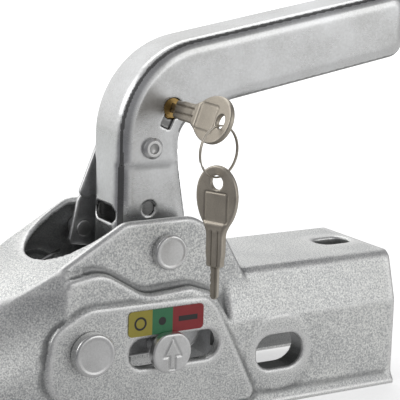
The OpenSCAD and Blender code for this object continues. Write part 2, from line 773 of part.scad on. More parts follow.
hole_y = blade_end - key_l + key_hole_in;
ring_gap = 0.25;
ring_x = lock_x - key_hole_r * sin(lock_turn);
ring_top_z = lock_z - key_hole_r * cos(lock_turn) + key_t / 2 * sin(lock_turn)
    + ring_wire_r + 2 * ring_gap;
ring_z = ring_top_z - ring_r;
ring_turn = 13;
spare_turn = 23;
spare_hole_z = ring_z - ring_r - key_hole_r + ring_wire_r + ring_gap;
module key_ring() {
    color([0.6, 0.58, 0.54])
    translate([ring_x, hole_y, ring_z]) rotate([90, 0, ring_turn])
        rotate_extrude($fn = 96) translate([ring_r, 0]) circle(r = ring_wire_r, $fn = 24);
}

module key_spare() {
    color([0.55, 0.52, 0.47])
    translate([ring_x, hole_y, spare_hole_z]) rotate([-90, 0, spare_turn + 180])
        translate([0, key_l - key_hole_in, 0]) key();
}

housing();
ball_cup();
clamp_jaw();
jaw_pin();
jaw_spacers();
jaw_spring();
handle();
handle_pin();
handle_spacers();
drive_pin();
slide();
slide_rod();
main_spring();
spring_bracket();
indicator();
wear_label();
latch_rivet();
safety_catch();
catch_spring();
keeper();
keeper_rivets();
lock_sleeve();
lock_barrel();
lock_plug();
lock_wafers();
lock_bolt();
lock_clip();
key_inserted();
key_ring();
key_spare();
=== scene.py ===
# %% [markdown]
# # A trailer coupler with a lock in its handle
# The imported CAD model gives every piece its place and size. This script builds the looks around
# it: softly rounded pressed steel, a bright zinc handle, turned pins, sprung wire and nickel keys.
# Lengths in the code are millimetres, and they become metres when a mesh is made.

# %% Load the frame
import math
import bpy
import numpy as np
from mathutils import Matrix, Vector


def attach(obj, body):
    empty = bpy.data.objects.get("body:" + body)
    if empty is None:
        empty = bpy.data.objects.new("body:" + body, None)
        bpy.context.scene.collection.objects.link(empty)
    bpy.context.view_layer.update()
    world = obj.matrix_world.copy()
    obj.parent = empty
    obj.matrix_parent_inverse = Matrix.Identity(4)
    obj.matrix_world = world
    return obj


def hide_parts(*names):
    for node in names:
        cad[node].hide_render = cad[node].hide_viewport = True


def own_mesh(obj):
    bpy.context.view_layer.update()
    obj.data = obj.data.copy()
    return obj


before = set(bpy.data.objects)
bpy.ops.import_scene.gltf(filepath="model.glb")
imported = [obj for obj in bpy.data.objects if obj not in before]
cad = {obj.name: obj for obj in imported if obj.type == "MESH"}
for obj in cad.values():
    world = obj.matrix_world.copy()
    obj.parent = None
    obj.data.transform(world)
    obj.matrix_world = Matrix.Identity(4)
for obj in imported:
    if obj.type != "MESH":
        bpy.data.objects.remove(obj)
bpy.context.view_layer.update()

# %% [markdown]
# ## From numbers to a mesh
# A mesh is a list of points and a list of faces. Every shape below comes out of a function as
# numpy arrays, so one small helper can make them all. It measures the signed volume first: a
# negative one means that the faces point inwards, and the helper turns them round. It also
# stores how far each point bulges past its neighbours, which the wear and a painted shade in
# corners read later.

# %% Mesh helpers
MM = 0.001


def triangles(faces):
    """Every face as a fan of triangles from its first corner."""
    out = []
    for size in {len(f) for f in faces}:
        some = np.array([f for f in faces if len(f) == size])
        out += [some[:, [0, k, k + 1]] for k in range(1, size - 1)]
    return np.concatenate(out)


def bulge(points, tris, spread=5):
    """How far a point stands out of the mean of its neighbours along its normal, spread a little.
    What is under 0.008 mm counts as flat."""
    a, b, c = (points[tris[:, k]] for k in range(3))
    across = np.cross(b - a, c - a)
    normal = np.zeros_like(points)
    for k in range(3):
        np.add.at(normal, tris[:, k], across)
    normal /= np.linalg.norm(normal, axis=1, keepdims=True) + 1e-12
    pairs = np.concatenate([tris[:, [0, 1]], tris[:, [1, 2]], tris[:, [2, 0]]])
    count = np.bincount(pairs[:, 0], minlength=len(points))[:, None] + 1e-9

    def mean(values):
        total = np.zeros_like(values)
        np.add.at(total, pairs[:, 0], values[pairs[:, 1]])
        return total / count

    out = ((points - mean(points)) * normal).sum(1, keepdims=True)
    for _ in range(spread):
        out = 0.5 * out + 0.5 * mean(out)
    out = out[:, 0]
    return np.sign(out) * np.maximum(np.abs(out) - 0.008, 0)


def add_piece(name, points, faces, body, stands_for, slot, material, inner=None):
    """Makes one closed mesh from points in millimetres and lists of corners. Points marked as inner
    count as deep corners, so they are darkened with painted shade."""
    points = np.asarray(points, float)
    faces = faces.tolist() if isinstance(faces, np.ndarray) else faces
    tris = triangles(faces)
    a, b, c = (points[tris[:, k]] for k in range(3))
    if (a * np.cross(b, c)).sum() < 0:
        faces = [f[::-1] for f in faces]
        tris = tris[:, ::-1]
    mesh = bpy.data.meshes.new(name)
    mesh.from_pydata((points * MM).tolist(), [], faces)
    mesh.update()
    mesh.shade_smooth()
    worn = mesh.attributes.new("worn", "FLOAT", "POINT")
    bulged = bulge(points, tris)
    # inner points take the deepest value, which the wear group turns into painted shade
    if inner is not None:
        bulged[inner] = -1
    worn.data.foreach_set("value", bulged.astype(np.float32))
    piece = bpy.data.objects.new(name, mesh)
    bpy.context.scene.collection.objects.link(piece)
    piece.data.materials.append(MATERIALS[material])
    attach(piece, body)
    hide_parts(*stands_for)
    print(f"{name}: {len(points)} points, {len(tris)} triangles")
    return piece


# %% [markdown]
# ## Solid fields and their skin
# The housing and the handle are bent sheets with holes, rounded bends and soft steps. No single
# grid of points has that form, so they are made another way: as a field, a number for each point
# of space that is the distance to the surface and is negative inside. Fields combine easily. The
# larger of two is what both hold, the smaller is what either holds, and a little circle of
# radius r in place of the sharp corner gives the rounded edge of a real pressing. The skin
# is then one point for each grid cell that the surface crosses, joined up by four-sided faces.

# %% Fields
def rounded(corners, steps=8):
    """Closed outline of [x, z, radius] corners, each replaced by an arc that touches both sides."""
    places = np.array([c[:2] for c in corners], float)
    out = []
    for i, corner in enumerate(corners):
        here, r = places[i], corner[2] if len(corner) > 2 else 0
        a, b = places[i - 1] - here, places[(i + 1) % len(corners)] - here
        a, b = a / np.hypot(*a), b / np.hypot(*b)
        half = math.acos(np.clip(a @ b, -1, 1)) / 2
        if r < 0.05 or half > 1.57:
            out.append(here)
            continue
        mid = here + (a + b) / np.hypot(*(a + b)) * r / math.sin(half)
        t0, t1 = here + a * r / math.tan(half) - mid, here + b * r / math.tan(half) - mid
        a0 = math.atan2(t0[1], t0[0])
        turn = (math.atan2(t1[1], t1[0]) - a0 + math.pi) % (2 * math.pi) - math.pi
        angles = a0 + turn * np.linspace(0, 1, steps + 1)
        out += list(mid + r * np.stack([np.cos(angles), np.sin(angles)], 1))
    return np.array(out)


def outline(points, u, v):
    """Signed distance to a closed outline: the nearest side's, negative where a ray crosses it an
    odd number of times."""
    near = np.full(np.broadcast(u, v).shape, 1e9)
    inside = np.zeros(near.shape, bool)
    for (u0, v0), (u1, v1) in zip(points, np.roll(points, -1, 0)):
        du, dv = u1 - u0, v1 - v0
        t = np.clip(((u - u0) * du + (v - v0) * dv) / (du * du + dv * dv + 1e-12), 0, 1)
        near = np.minimum(near, (u - u0 - t * du) ** 2 + (v - v0 - t * dv) ** 2)
        crosses = (v0 > v) != (v1 > v)
        inside ^= crosses & (u < u0 + (v - v0) * du / (dv if abs(dv) > 1e-12 else 1e-12))
    return np.where(inside, -1, 1) * np.sqrt(near)


def both(a, b, r=0.0):
    """What two fields share, with its edge rounded to radius r."""
    return np.minimum(np.maximum(a, b), -r) + np.hypot(np.maximum(a + r, 0), np.maximum(b + r, 0))


def either(a, b, r=0.0):
    """What either field holds, with the inside corner filled to radius r."""
    return np.maximum(np.minimum(a, b), r) - np.hypot(np.maximum(r - a, 0), np.maximum(r - b, 0))


def less(a, b, r=0.0):
    """The first field with the second cut out of it, and the cut's edge rounded to radius r."""
    return both(a, -b, r)


def slot_field(u, v, length, width):
    """Distance to a slot with round ends: to its middle line, less half its width."""
    return np.hypot(np.maximum(np.abs(u) - (length - width) / 2, 0), v) - width / 2


def ramp(t):
    """0 below 0, 1 above 1, and a smooth S between them: 3 t squared less 2 t cubed."""
    t = np.clip(t, 0, 1)
    return t * t * (3 - 2 * t)


def ruler(*parts):
    """Grid marks from (start, stop, step) stretches laid end to end."""
    marks = [np.arange(a, b - 0.25 * s, s) for a, b, s in parts]
    return np.append(np.concatenate(marks), parts[-1][1])


def space(xs, ys, zs):
    return xs[:, None, None], ys[None, :, None], zs[None, None, :]


def skin(field, xs, ys, zs):
    """One point in each cell that the surface crosses, the mean of the places where it crosses the
    cell's edges; one face round each crossed edge, through its four cells."""
    cells = np.array(field.shape) - 1
    inside = field < 0
    spots, owners, rings, flips = [], [], [], []
    for axis in range(3):
        lo = [slice(None)] * 3
        hi = [slice(None)] * 3
        lo[axis], hi[axis] = slice(0, -1), slice(1, None)
        low, high = field[tuple(lo)], field[tuple(hi)]
        at = np.argwhere(inside[tuple(lo)] != inside[tuple(hi)])
        i, j, k = at.T
        f0, f1 = low[i, j, k], high[i, j, k]
        t = f0 / (f0 - f1)
        place = np.stack([xs[i], ys[j], zs[k]], 1)
        marks = (xs, ys, zs)[axis]
        place[:, axis] += t * (marks[at[:, axis] + 1] - marks[at[:, axis]])
        u, v = [a for a in range(3) if a != axis]
        ring = []
        for du, dv in ((0, 0), (1, 0), (1, 1), (0, 1)):
            cell = at.copy()
            cell[:, u] -= du
            cell[:, v] -= dv
            ring.append(np.ravel_multi_index(np.clip(cell, 0, cells - 1).T, cells))
            spots.append(place)
            owners.append(ring[-1])
        rings.append(np.stack(ring, 1))
        flips.append((f0 < 0) != (axis == 1))
    ids, where = np.unique(np.concatenate(owners), return_inverse=True)
    spots = np.concatenate(spots)
    count = np.bincount(where)
    points = np.stack([np.bincount(where, spots[:, a]) / count for a in range(3)], 1)
    faces = np.searchsorted(ids, np.concatenate(rings))
    flip = np.concatenate(flips)
    faces[flip] = faces[flip][:, ::-1]
    return points, faces


# %% [markdown]
# ## Shapes with one profile
# A pin's head is turned on a lathe: a profile carried round an axis. A spring or a ring is a
# circle carried along a line in space. Both are functions of two parameters, so the points are
# one whole array, and the faces join each point to the next one round and the next one along.

# %% Turned shapes and wires
def turned(profile, x, z, count=64):
    """Points at (radius cos a, along, radius sin a) round an axis parallel to Y. The profile starts
    and ends on the axis."""
    profile = np.array(profile, float)
    angle = np.arange(count) * 2 * math.pi / count
    rim = profile[1:-1]
    ring = np.stack([x + rim[:, :1] * np.cos(angle), np.repeat(rim[:, 1:], count, 1),
                     z + rim[:, :1] * np.sin(angle)], -1).reshape(-1, 3)
    ends = np.array([[x, profile[0][1], z], [x, profile[-1][1], z]])
    rows, n = len(rim), count
    r, c = np.arange(rows - 1)[:, None], np.arange(n)[None, :]
    d = (c + 1) % n
    quads = np.stack([r * n + c, r * n + d, (r + 1) * n + d, (r + 1) * n + c], -1)
    faces = quads.reshape(-1, 4).tolist()
    first, last = rows * n, rows * n + 1
    faces += [[first, (k + 1) % n, k] for k in range(n)]
    faces += [[last, (rows - 1) * n + k, (rows - 1) * n + (k + 1) % n] for k in range(n)]
    return np.concatenate([ring, ends]), faces


def wire(path, radius, count=14):
    """A circle of the given radius carried along a path. Each circle stands across the path, and
    its start turns no more than the path itself does."""
    path = np.array(path, float)
    ahead = np.roll(path, -1, 0) - np.roll(path, 1, 0)
    ahead[0], ahead[-1] = path[1] - path[0], path[-1] - path[-2]
    ahead /= np.linalg.norm(ahead, axis=1, keepdims=True)
    side = np.zeros_like(path)
    guess = np.array([0.05, 1, 0.02]) if abs(ahead[0][1]) < 0.9 else np.array([1.0, 0, 0])
    for i, d in enumerate(ahead):
        guess = guess - d * (guess @ d)
        guess = guess / np.linalg.norm(guess)
        side[i] = guess
    up = np.cross(ahead, side)
    angle = np.arange(count) * 2 * math.pi / count
    ring = path[:, None] + radius * (side[:, None] * np.cos(angle)[:, None]
                                     + up[:, None] * np.sin(angle)[:, None])
    rows, n = len(path), count
    r, c = np.arange(rows - 1)[:, None], np.arange(n)[None, :]
    s, d = r + 1, (c + 1) % n
    faces = np.stack([r * n + c, r * n + d, s * n + d, s * n + c], -1).reshape(-1, 4).tolist()
    faces += [list(range(n))[::-1], [(rows - 1) * n + k for k in range(n)]]
    return ring.reshape(-1, 3), faces


# %% [markdown]
# ## Finishes
# Zinc, steel and nickel differ in colour, gloss and grain. What they share is built once, as node
# groups: a fine grain with soft clouds in it, wear that brightens raised edges, and a darkening of
# corners and inner points that is partly dirt and partly painted shade. Each material places the
# groups with its own sizes and colours. All patterns read Object coordinates, in metres, so a
# scale of 1000 is a grain of about a millimetre.

# %% Node groups
def new_group(name, inputs, outputs):
    group = bpy.data.node_groups.new(name, "ShaderNodeTree")
    for label, kind, value in inputs:
        socket = group.interface.new_socket(label, in_out="INPUT", socket_type=kind)
        socket.default_value = value
    for label, kind in outputs:
        group.interface.new_socket(label, in_out="OUTPUT", socket_type=kind)
    start, end = group.nodes.new("NodeGroupInput"), group.nodes.new("NodeGroupOutput")
    return group, start.outputs, end.inputs


def math_node(tree, kind, a, b=None, clamp=False):
    node = tree.nodes.new("ShaderNodeMath")
    node.operation, node.use_clamp = kind, clamp
    for socket, value in zip(node.inputs, (a, b)):
        if isinstance(value, (int, float)):
            socket.default_value = value
        elif value is not None:
            tree.links.new(value, socket)
    return node.outputs[0]


def mix_colour(tree, factor, a, b, blend="MIX"):
    node = tree.nodes.new("ShaderNodeMix")
    node.data_type, node.blend_type = "RGBA", blend
    for socket, value in ((node.inputs[0], factor), (node.inputs[6], a), (node.inputs[7], b)):
        if isinstance(value, (int, float, tuple)):
            socket.default_value = value
        else:
            tree.links.new(value, socket)
    return node.outputs[2]


def noise(tree, scale, detail, stretch=(1, 1, 1)):
    place = tree.nodes.new("ShaderNodeTexCoord")
    turn = tree.nodes.new("ShaderNodeMapping")
    turn.inputs["Scale"].default_value = stretch
    tree.links.new(place.outputs["Object"], turn.inputs["Vector"])
    node = tree.nodes.new("ShaderNodeTexNoise")
    node.inputs["Detail"].default_value = detail
    tree.links.new(turn.outputs[0], node.inputs["Vector"])
    if isinstance(scale, (int, float)):
        node.inputs["Scale"].default_value = scale
    else:
        tree.links.new(scale, node.inputs["Scale"])
    return node.outputs[0]


def grain_group():
    """Clouds between two colours, and a fine even grain, as a colour, a value and a height."""
    g, i, o = new_group("grain and clouds", [
        ("Light", "NodeSocketColor", (0.7, 0.7, 0.7, 1)), ("Dark", "NodeSocketColor", (0.5, 0.5, 0.5, 1)),
        ("Cloud Scale", "NodeSocketFloat", 60.0), ("Grain Scale", "NodeSocketFloat", 1500.0),
        ("Grain", "NodeSocketFloat", 0.5), ("Clouds", "NodeSocketFloat", 0.4)],
        [("Color", "NodeSocketColor"), ("Cloud", "NodeSocketFloat"), ("Height", "NodeSocketFloat")])
    cloud = noise(g, i["Cloud Scale"], 5)
    cloud = math_node(g, "MULTIPLY_ADD", cloud, 2.2, True)
    cloud.node.inputs[2].default_value = -0.6
    fine = noise(g, i["Grain Scale"], 3)
    speck = math_node(g, "MULTIPLY", math_node(g, "SUBTRACT", fine, 0.5), i["Grain"])
    drift = math_node(g, "MULTIPLY", math_node(g, "SUBTRACT", cloud, 0.5), i["Clouds"])
    shade = math_node(g, "ADD", math_node(g, "ADD", drift, speck), 0.5, True)
    g.links.new(mix_colour(g, shade, i["Dark"], i["Light"]), o["Color"])
    g.links.new(cloud, o["Cloud"])
    g.links.new(fine, o["Height"])
    return g


def wear_dirt_shade_group():
    """Brightens raised edges as wear, broken up by noise, and darkens corners and inner points towards a
    dark colour that is partly dirt and partly painted shade, all from the bulge of the mesh.
    """
    g, i, o = new_group("edge wear, dirt and painted shade", [
        ("Color", "NodeSocketColor", (0.7, 0.7, 0.7, 1)), ("Bare", "NodeSocketColor", (0.9, 0.9, 0.9, 1)),
        ("Grime", "NodeSocketColor", (0.1, 0.1, 0.1, 1)), ("Wear", "NodeSocketFloat", 0.5),
        ("Dirt", "NodeSocketFloat", 0.5), ("Reach", "NodeSocketFloat", 30.0)],
        [("Color", "NodeSocketColor"), ("Edge", "NodeSocketFloat")])
    read = g.nodes.new("ShaderNodeAttribute")
    read.attribute_name = "worn"
    stand = math_node(g, "MULTIPLY", read.outputs["Fac"], i["Reach"])
    rough = math_node(g, "ADD", noise(g, 350, 4), 0.4)
    edge = math_node(g, "MULTIPLY", math_node(g, "MULTIPLY", stand, rough, True), i["Wear"], True)
    sunk = math_node(g, "MULTIPLY", math_node(g, "MULTIPLY", stand, -1.0, True), i["Dirt"], True)
    worn = mix_colour(g, edge, i["Color"], i["Bare"])
    g.links.new(mix_colour(g, sunk, worn, i["Grime"]), o["Color"])
    g.links.new(edge, o["Edge"])
    return g


GRAIN, WEAR_DIRT_SHADE = grain_group(), wear_dirt_shade_group()
MATERIALS = {}


def place_group(tree, group, **values):
    node = tree.nodes.new("ShaderNodeGroup")
    node.node_tree = group
    for label, value in values.items():
        socket = node.inputs[label.replace("_", " ")]
        if isinstance(value, bpy.types.NodeSocket):
            tree.links.new(value, socket)
        else:
            socket.default_value = value
    return node.outputs


def metal(name, light, dark, rough, cloud, grain, metallic=1.0, speck=0.6, bump=0.1, wear=0.5,
          dirt_and_shade=0.5, bare=(0.85, 0.85, 0.84, 1), rough_span=0.12, streak=None, clouds=0.5):
    """A metal finish: clouded colour with edge wear, a rougher and a smoother state, fine bump."""
    m = bpy.data.materials.new(name)
    m.use_nodes = True
    t = m.node_tree
    shader = t.nodes["Principled BSDF"]
    shader.inputs["Metallic"].default_value = metallic
    base = place_group(t, GRAIN, Light=(*light, 1), Dark=(*dark, 1), Cloud_Scale=float(cloud),
                       Grain_Scale=float(grain), Grain=float(speck), Clouds=float(clouds))
    # the dark colour of corners and inner points, 0.35 of the dark tone, is partly dirt and partly
    # painted shade
    worn = place_group(t, WEAR_DIRT_SHADE, Color=base["Color"], Bare=bare, Wear=float(wear), Dirt=float(dirt_and_shade),
                       Grime=(*(0.35 * np.array(dark)), 1))
    t.links.new(worn["Color"], shader.inputs["Base Color"])
    r = math_node(t, "MULTIPLY_ADD", base["Cloud"], rough_span)
    r.node.inputs[2].default_value = rough
    height = base["Height"]
    if streak:
        lines = noise(t, streak[0], 3, streak[1])
        r = math_node(t, "ADD", r, math_node(t, "MULTIPLY", lines, streak[2]))
        height = math_node(t, "ADD", height, math_node(t, "MULTIPLY", lines, streak[3]))
    r = math_node(t, "SUBTRACT", r, math_node(t, "MULTIPLY", worn["Edge"], 0.15), True)
    t.links.new(r, shader.inputs["Roughness"])
    node = t.nodes.new("ShaderNodeBump")
    node.inputs["Strength"].default_value = bump
    node.inputs["Distance"].default_value = 0.0002
    t.links.new(height, node.inputs["Height"])
    t.links.new(node.outputs[0], shader.inputs["Normal"])
    MATERIALS[name] = m
    return m


# %% [markdown]
# Each real finish in turn. Hot-dipped steel is pale, matt and sandy. The handle is bright zinc
# plate, smoother, with long faint streaks from the press. Pins are turned, springs are dark and
# oily, and the keys are warm nickel. The cast seat and jaw are grey and coarse.

# %% Metals
metal("galvanised", (0.93, 0.935, 0.91), (0.46, 0.47, 0.475), 0.40, 45, 1400, metallic=0.85,
      speck=3.2, bump=0.35, wear=0.5, dirt_and_shade=0.75, clouds=0.35)
metal("handle_zinc", (0.84, 0.85, 0.86), (0.50, 0.50, 0.49), 0.18, 30, 900, speck=0.6, bump=0.05,
      wear=0.2, dirt_and_shade=0.88, clouds=0.7, streak=(60, (1, 1, 12), 0.08, 0.2))
metal("pin_zinc", (0.86, 0.86, 0.86), (0.58, 0.58, 0.57), 0.25, 90, 1300, speck=0.8, bump=0.1,
      wear=0.4, dirt_and_shade=0.5)
metal("inner_zinc", (0.70, 0.71, 0.72), (0.38, 0.38, 0.38), 0.36, 80, 1200, speck=0.9, bump=0.2)
metal("cast_grey", (0.36, 0.36, 0.37), (0.13, 0.13, 0.13), 0.45, 120, 700, speck=1.6, bump=0.7)
metal("spring_dark", (0.26, 0.26, 0.27), (0.12, 0.12, 0.12), 0.32, 150, 1500, speck=0.8, bump=0.1)
metal("lock_brass", (0.62, 0.43, 0.17), (0.30, 0.19, 0.07), 0.28, 200, 1500, speck=0.9, bump=0.1,
      bare=(0.85, 0.66, 0.34, 1))
metal("key_nickel", (0.58, 0.53, 0.45), (0.38, 0.34, 0.285), 0.40, 110, 1500, speck=0.8, bump=0.08,
      wear=0.45, dirt_and_shade=0.7, bare=(0.74, 0.70, 0.62, 1))
print("finishes:", ", ".join(MATERIALS))

# %% [markdown]
# ## Housing
# The housing is pressed from 4 mm sheet: a half ball in front, two ears that carry the pins, and
# a channel behind them for the drawbar. The wall is everything within 2 mm of the middle of the
# sheet. Raised pads, drawn collars and holes are joined on or cut out with rounded edges.

# %% Housing
# places of what the pieces share, as X and Z
JAW_PIN, HANDLE_PIN, DRIVE_PIN = (45, 13.5), (87.3, 54.4), (87.3, 30.9)
RIVET, KEEPER_SPOTS, INDICATOR = (86.7, 99.4), ((70, 56), (101, 61)), (84.6, 9.4)
SIDE_SLOT_X, TOP_SLOT_X, ROD_HEIGHT = 148, 202, 15.5
SEAT_R = 25.1    # seats of the ball and of the drawbar
WALL = 4.0       # thickness of the pressed sheet
HALF_W = 36.0    # half the width over the lower side walls
LOW_EDGE = -25.5
NOSE_END = rounded([[-36, -60], [36, -60], [36, 42.4, 4], [31, 51.4, 5], [-31, 51.4, 5],
                    [-36, 42.4, 4]])


def bore(X, Z, place, radius):
    """Distance to a round hole along Y."""
    return np.hypot(X - place[0], Z - place[1]) - radius


def housing_form(X, Y, Z):
    """Distance to the outside of the pressing, before pads and holes, and the distance from the
    middle plane less the flare of the lower flange."""
    half = HALF_W
    wide = np.abs(Y) - 3.0 * ramp((-19 - Z) / 6.5) * ramp((X - 58) / 14)
    head = np.sqrt(X ** 2 + Y ** 2 + np.maximum(Z, 0) ** 2) - half
    y2, z2 = Y[0], Z[0]
    round_end = np.hypot(y2, np.maximum(z2, 0)) - half
    front = outline(NOSE_END, y2, z2)
    s = np.clip(X / 34, 0, 1)
    nose = np.maximum((1 - s) * round_end[None] + s * front[None], np.maximum(-X - 3, X - 44))
    x2, z3 = X[:, 0], Z[:, 0]
    ridge = outline(rounded([[34, -60], [300, -60], [300, 17.5], [120.5, 17.5, 8], [110.4, 33, 10],
                             [98, 37.5, 10], [74, 36, 16], [52, 49.5, 18], [34, 46.5]]), x2, z3)
    body = both(ridge[:, None], wide - half, 2.2)
    ear = outline(rounded([[34, -60], [139, -60], [139, 10], [128.5, 41.5], [119, 58, 12],
                           [101, 69.5, 16], [65, 69.5, 12], [34, 51.4]]), x2, z3)
    ears = both(ear[:, None], np.abs(Y) - 31.0, 2.2)
    back = outline(rounded([[-36, -60], [36, -60], [36, 17.5, 4], [29, 41.5, 6], [-29, 41.5, 6],
                            [-36, 17.5, 4]]), y2, z2)
    back = both(np.maximum(back[None], wide - half), 118 - X, 4)
    form = either(np.minimum(body, back), ears, 1.6)
    return np.minimum(np.minimum(form, nose), head), wide


def housing_field(X, Y, Z):
    form, wide = housing_form(X, Y, Z)
    sheet = np.abs(form + WALL / 2) - WALL / 2
    x2, z2 = X[:, 0], Z[:, 0]
    under = outline(rounded([[-80, -16], [34, -16, 12], [60, LOW_EDGE, 10], [300, LOW_EDGE], [300, 120],
                             [-80, 120]]), x2, z2)[:, None]
    field = both(both(sheet, under, 1.1), X - 217, 0.9)
    plan = np.minimum(np.hypot(X - 60, Y) - 27, np.maximum(np.abs(X - 91) - 31, np.abs(Y) - 27))
    field = less(field, np.maximum(plan, 33.5 - Z), 1.4)
    pad = outline(rounded([[22, -4, 14], [60, -20.5, 8], [134.8, -20.5, 3], [112, 26, 3],
                           [106, 32.6, 9], [44, 33.4, 20], [26, 24, 12]]), x2, z2)[:, None]
    pad = np.maximum(both(pad, wide - 37.3, 0.6), 33.5 - wide)
    field = either(field, pad, 0.7)
    boss = np.maximum(both(np.hypot(X - SIDE_SLOT_X, Z) - 18.5, wide - 36.35, 0.3), 33.5 - wide)
    field = either(field, boss, 0.6)
    side = slot_field(X - SIDE_SLOT_X, Z, 27, 17)
    collar = np.maximum(side - 3.5, np.maximum(22 - wide, wide - 34))
    field = either(field, collar, 2.0)
    top = slot_field(X - TOP_SLOT_X, Y, 20, 12.5)
    field = either(field, np.maximum(top - 3.5, np.maximum(21 - Z, Z - 39)), 2.0)
    field = less(field, np.maximum(np.hypot(Y, Z) - SEAT_R, -X), 0.5)
    field = less(field, side, 1.0)
    field = less(field, np.maximum(top, -Z), 1.2)
    field = less(field, np.maximum(slot_field(X - 88.8, Z - 9.4, 47.6, 14), Y + 20), 0.6)
    field = less(field, bore(X, Z, JAW_PIN, 6.1))
    field = less(field, bore(X, Z, HANDLE_PIN, 5.1))
    for spot in KEEPER_SPOTS:
        field = less(field, np.maximum(bore(X, Z, spot, 3.1), -Y))
    return field


xs = ruler((-39.3, 26, 1.6), (26, 138, 0.95), (138, 219.5, 1.3))
ys = ruler((-41.3, -23, 0.8), (-23, 23, 2.3), (23, 41.3, 0.8))
zs = ruler((-28.3, 72.5, 1.0))
points, faces = skin(housing_field(*space(xs, ys, zs)), xs, ys, zs)
# the inside, darkened with painted shade: under the round head and the nose, under the roof behind them,
# between the ears
x, y, z = points.T
part = np.clip(x / 34, 0, 1)
deep = (1 - part) * (np.hypot(y, np.maximum(z, 0)) - 36) + part * outline(NOSE_END, y, z)
inner = np.where(x < -3, np.linalg.norm([x, y, np.maximum(z, 0)], axis=0) - 36, deep) < -2.2
side = np.select([x > 124, x > 104], [34 - 7 * np.clip((z - 17.5) / 24, 0, 1), 29.2], 33.8)
inner = np.where(x < 34, inner, (np.abs(y) < side) & (z < np.where(x > 122, 39.3, 30)))
inner |= (x > 34) & (x < 122) & (np.abs(y) < 28.5) & (z < np.interp(x, [34, 64], [48.5, 66]))
add_piece("pressed_housing", points, faces, "coupler", ["housing"], "galvanised_shell", "galvanised",
          inner)

# %% [markdown]
# ## Handle
# The handle is a channel bent from 2.5 mm sheet. Seen from the side it is one outline, and across
# it is a U with 7 mm bends. The inside is the same form drawn 2.5 mm smaller. The lower edges of
# the grip and the rear edges of the legs are rolled in to spare the hand, and the legs step in a
# little where they pass the ears. Points of the inside are marked, and they are darkened with
# painted shade.

# %% Handle
SHEET = 2.5
SLOPE = math.tan(math.radians(9.7))
GRIP_TOP = 142.3 + 161.5 * SLOPE
LOCK = np.array([97.7, 117.3])
LOCK_TURN = math.radians(20)
TAB = (math.cos(math.radians(7)), -math.sin(math.radians(7)))  # the cut leans 7 degrees more


def lock_frame(X, Z):
    """X and Z measured from the lock's axis, turned back by the key's slant."""
    dx, dz = X - LOCK[0], Z - LOCK[1]
    c, s = math.cos(LOCK_TURN), math.sin(LOCK_TURN)
    return dx * c - dz * s, dx * s + dz * c


HANDLE_SIDE = rounded([
    [70.5, 42, 5], [77.8, 22.4, 8], [95.8, 22.4, 8], [106.5, 44, 20], [109.3, 64.5, 20],
    [101.6, 109, 13], [131, 118.3, 30], [232, GRIP_TOP - 33 / math.cos(math.atan(SLOPE)), 9],
    [232, GRIP_TOP, 9], [70.5, 142.3, 46]], 16)


def handle_field(X, Y, Z):
    x2, z2 = X[:, 0], Z[:, 0]
    shape = outline(HANDLE_SIDE, x2, z2)[:, None]
    under = (Z - (109 + (X - 106) * 0.165)) / 12
    bend = 7.0 + 0.5 * ramp(1 - under) * ramp((X - 108) / 12)
    bend = bend + (1.3 - bend) * ramp((48 - Z) / 6)
    half = 15.0 - 1.0 * ramp((93.5 - Z) / 3.5)
    outer = both(shape, np.abs(Y) - half, bend)
    inner = both(shape + SHEET, np.abs(Y) - half + SHEET, np.maximum(bend - SHEET, 0.3))
    field = less(outer, inner)
    room = np.abs(Y) - half + SHEET
    gap = np.maximum(room, Z - 44)
    gap = np.minimum(gap, np.maximum(room, np.maximum(73 - X, Z - 97)))
    behind = outline(np.array([[80, 60], [112, 60], [112, 118], [96, 111], [80, 110]], float), x2, z2)
    gap = np.minimum(gap, np.maximum(np.abs(Y) - 9.5, behind[:, None]))
    mouth = outline(np.array([[104, 80], [223, 80], [223, 120 + 110 * SLOPE], [104, 121]]), x2, z2)
    gap = np.minimum(gap, np.maximum(np.abs(Y) - 6, mouth[:, None]))
    field = less(field, gap, 0.9)
    for spot, radius in ((HANDLE_PIN, 5.1), (DRIVE_PIN, 4.1), (RIVET, 3.1)):
        field = less(field, bore(X, Z, spot, radius), 0.4)
    field = less(field, np.maximum(np.hypot(X - 86.4, Z - 70.9) - 3.3, Y), 0.6)
    u, v = lock_frame(X, Z)
    barrel = np.hypot(u, v) - 4.9
    p, q = u * TAB[0] + v * TAB[1], v * TAB[0] - u * TAB[1]
    tab = np.maximum(np.maximum(np.abs(p) - 2.6, np.abs(q + 4.9) - 4.9), Y + 13.6)
    field = less(field, np.minimum(np.maximum(barrel, Y), tab), 0.4)
    field = less(field, np.maximum(barrel, -Y), 0.4)
    window = slot_field(Y, Z - 67.8, 19, 7.8)
    return less(field, np.maximum(window, X - 80), 0.6)


xs = ruler((68.6, 112, 0.8), (112, 234.5, 1.3))
ys = ruler((-16.9, 16.9, 0.65))
zs = ruler((20.3, 172.5, 0.85))
points, faces = skin(handle_field(*space(xs, ys, zs)), xs, ys, zs)
x, y, z = points.T
# the inside of the channel, and the floor of the cut for the key, darkened with painted shade
inner = (np.abs(y) < 12.8) & (outline(HANDLE_SIDE, x, z) < -1.25)
inner |= (np.abs(y + 13.6) < 0.5) & (np.hypot(x - LOCK[0], z - LOCK[1]) < 12)
add_piece("bent_handle", points, faces, "handle_unit", ["handle"], "zinc_handle", "handle_zinc",
          inner)

# %% [markdown]
# ## Pins and rivets
# Each pin is turned, with a flat head whose rim is rounded and whose face has a faint dish from
# the upsetting press. The profile is a list of radius, place along the axis, and rounding.

